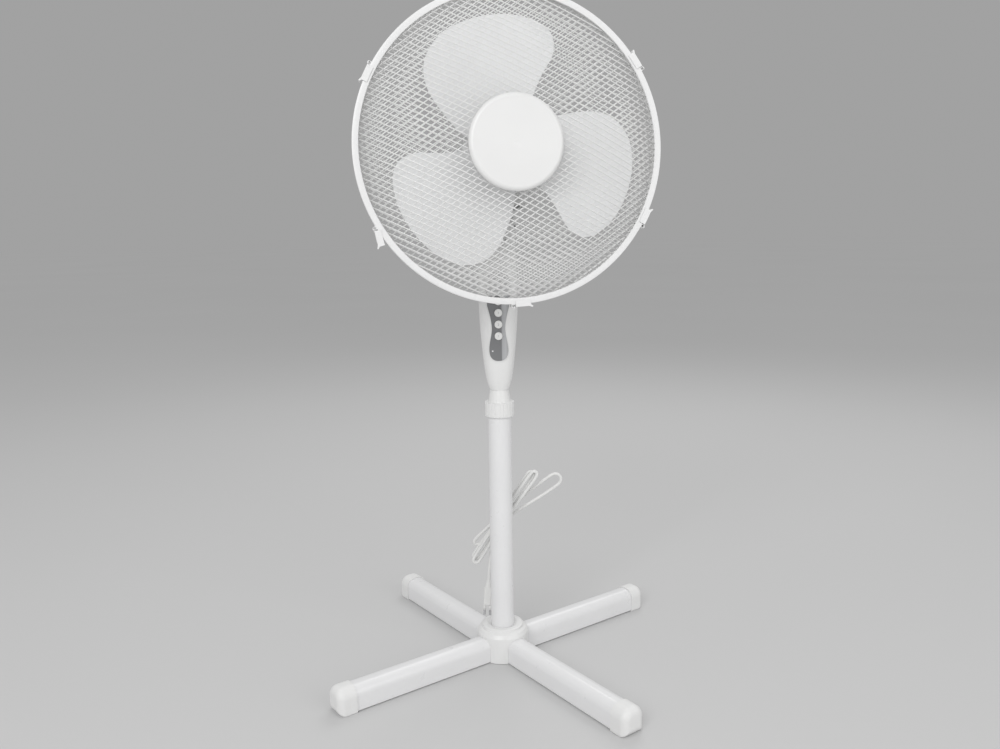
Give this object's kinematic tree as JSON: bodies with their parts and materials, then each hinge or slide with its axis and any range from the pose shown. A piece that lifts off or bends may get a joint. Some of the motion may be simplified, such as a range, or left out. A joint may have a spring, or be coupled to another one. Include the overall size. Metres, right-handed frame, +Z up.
{
  "type": "pedestal fan",
  "caption": "White pedestal fan: wire guards round a petal blade, oscillating tilting motor head, push-button column, telescopic pole and cross base.",
  "frame": {"origin": "on the floor under the pole's axis", "axes": "+Z up the pole; the control column faces -Y; +X to the right seen from the front"},
  "size_m": [0.5072, 0.5072, 1.0194],
  "materials": {
    "white_gloss": "moulded, lightly glossy",
    "white_blade": "moulded, satin",
    "white_ring": "moulded, glossy",
    "white_wire": "powder coated wire",
    "white_steel": "gloss enamel",
    "white_cap": "moulded, satin",
    "white_button": "glossy",
    "grey_panel": "fine satin",
    "dark_plastic": "moulded",
    "bright_steel": "plated",
    "zinc_steel": "zinc plated",
    "bronze": "sintered",
    "laminations": "stacked sheet",
    "white_cord": "soft vinyl",
    "tie_wire": "coated wire"
  },
  "bodies": {
    "stand": {"leg_lower": "white_steel", "leg_upper": "white_steel", "foot_cap_back_right": "white_cap", "foot_cap_back_left": "white_cap", "foot_cap_front_left": "white_cap", "foot_cap_front_right": "white_cap", "base_cover": "white_gloss", "pole_flange": "zinc_steel", "base_fasteners": "bright_steel", "outer_tube": "white_steel", "tube_collet": "dark_plastic"},
    "height_nut": {"lock_nut": "white_gloss"},
    "riser": {"guide_bush": "dark_plastic"},
    "column": {"inner_tube": "bright_steel", "column_front": "white_gloss", "column_rear": "white_gloss", "column_screws": "bright_steel", "control_panel": "grey_panel", "switch_block": "dark_plastic", "cord_gland": "white_cord", "tilt_fasteners": "bright_steel", "cord_drop": "white_cord", "cord_hank": "white_cord", "cord_tail": "white_cord", "hank_tie": "tie_wire", "mains_plug": "white_cord", "plug_pins": "bright_steel"},
    "button_low": {"button_low": "white_button"},
    "button_medium": {"button_medium": "white_button"},
    "button_high": {"button_high": "white_button"},
    "button_off": {"button_off": "white_button"},
    "neck": {"neck": "white_gloss", "spindle_fasteners": "bright_steel"},
    "link": {"oscillation_link": "zinc_steel"},
    "head": {"swivel_bracket": "zinc_steel", "motor_front_bracket": "zinc_steel", "motor_rear_bracket": "zinc_steel", "shaft_bearings": "bronze", "motor_stator": "laminations", "motor_bolts": "bright_steel", "motor_front_cover": "white_gloss", "motor_rear_cover": "white_gloss", "gearbox": "dark_plastic", "rear_guard": "white_wire", "guard_nut": "white_gloss", "front_guard": "white_wire", "guard_ring": "white_ring", "front_badge": "white_gloss"},
    "crank": {"crank": "zinc_steel"},
    "knob": {"oscillation_knob": "white_gloss"},
    "impeller": {"motor_shaft": "bright_steel", "motor_rotor": "laminations", "fan_blade": "white_blade", "blade_spinner": "white_gloss"},
    "clip_1": {"guard_clip_1": "white_ring"},
    "clip_2": {"guard_clip_2": "white_ring"},
    "clip_3": {"guard_clip_3": "white_ring"},
    "clip_4": {"guard_clip_4": "white_ring"},
    "clip_5": {"guard_clip_5": "white_ring"},
    "clip_6": {"guard_clip_6": "white_ring"}
  },
  "joints": [
    {"name": "nut_turn", "type": "hinge", "parent": "stand", "child": "height_nut", "pos_m": [0, 0, 0.4], "axis": [0, 0, 1], "range_deg": [0, 180]},
    {"name": "height_slide", "type": "slide", "parent": "stand", "child": "riser", "axis": [0, 0, 1], "range_m": [0, 0.25]},
    {"name": "column_turn", "type": "hinge", "parent": "riser", "child": "column", "pos_m": [0, 0, 0.4424], "axis": [0, 0, 1], "range_deg": [-180, 180]},
    {"name": "button_low_press", "type": "slide", "parent": "column", "child": "button_low", "axis": [0, 1, 0], "range_m": [0, 0.003], "stiffness_N_per_m": 300},
    {"name": "button_medium_press", "type": "slide", "parent": "column", "child": "button_medium", "axis": [0, 1, 0], "range_m": [0, 0.003], "stiffness_N_per_m": 300},
    {"name": "button_high_press", "type": "slide", "parent": "column", "child": "button_high", "axis": [0, 1, 0], "range_m": [0, 0.003], "stiffness_N_per_m": 300},
    {"name": "button_off_press", "type": "slide", "parent": "column", "child": "button_off", "axis": [0, 1, 0], "range_m": [0, 0.003], "stiffness_N_per_m": 300},
    {"name": "tilt", "type": "hinge", "parent": "column", "child": "neck", "pos_m": [0, 0, 0.6898], "axis": [-1, 0, 0], "range_deg": [-14, 26]},
    {"name": "swing", "type": "hinge", "parent": "neck", "child": "head", "pos_m": [0, 0, 0.6898], "axis": [0, 0.0685, 0.9976], "range_deg": [-49.4, 30.6]},
    {"name": "link_turn", "type": "hinge", "parent": "neck", "child": "link", "pos_m": [0.022, 0.00185, 0.71674], "axis": [0, 0.0685, 0.9976], "range_deg": [-49.4, 30.6]},
    {"name": "crank_turn", "type": "hinge", "parent": "head", "child": "crank", "pos_m": [0.00981, 0.04629, 0.7187], "axis": [0, 0.0685, 0.9976], "continuous": true},
    {"name": "knob_pull", "type": "slide", "parent": "head", "child": "knob", "axis": [0, 0.0685, 0.9976], "range_m": [0, 0.006]},
    {"name": "impeller_spin", "type": "hinge", "parent": "head", "child": "impeller", "pos_m": [0, 0.00699, 0.79156], "axis": [0.1633, -0.9843, 0.0676], "continuous": true},
    {"name": "clip_1_open", "type": "hinge", "parent": "head", "child": "clip_1", "pos_m": [0.20438, -0.07005, 0.90685], "axis": [-0.1633, 0.9843, -0.0676], "range_deg": [0, 100]},
    {"name": "clip_2_open", "type": "hinge", "parent": "head", "child": "clip_2", "pos_m": [0.01799, -0.09345, 1.01647], "axis": [-0.1633, 0.9843, -0.0676], "range_deg": [0, 100]},
    {"name": "clip_3_open", "type": "hinge", "parent": "head", "child": "clip_3", "pos_m": [-0.16728, -0.13157, 0.9091], "axis": [-0.1633, 0.9843, -0.0676], "range_deg": [0, 100]},
    {"name": "clip_4_open", "type": "hinge", "parent": "head", "child": "clip_4", "pos_m": [-0.16616, -0.14629, 0.6921], "axis": [-0.1633, 0.9843, -0.0676], "range_deg": [-21, 79]},
    {"name": "clip_5_open", "type": "hinge", "parent": "head", "child": "clip_5", "pos_m": [0.02023, -0.12289, 0.58247], "axis": [-0.1633, 0.9843, -0.0676], "range_deg": [0, 100]},
    {"name": "clip_6_open", "type": "hinge", "parent": "head", "child": "clip_6", "pos_m": [0.2055, -0.08477, 0.68985], "axis": [-0.1633, 0.9843, -0.0676], "range_deg": [0, 100]}
  ],
  "couplings": [
    {"joint": "link_turn", "follows": "swing", "ratio": 1},
    {"joint": "crank_turn", "follows": "impeller_spin", "ratio": 0.025}
  ]
}
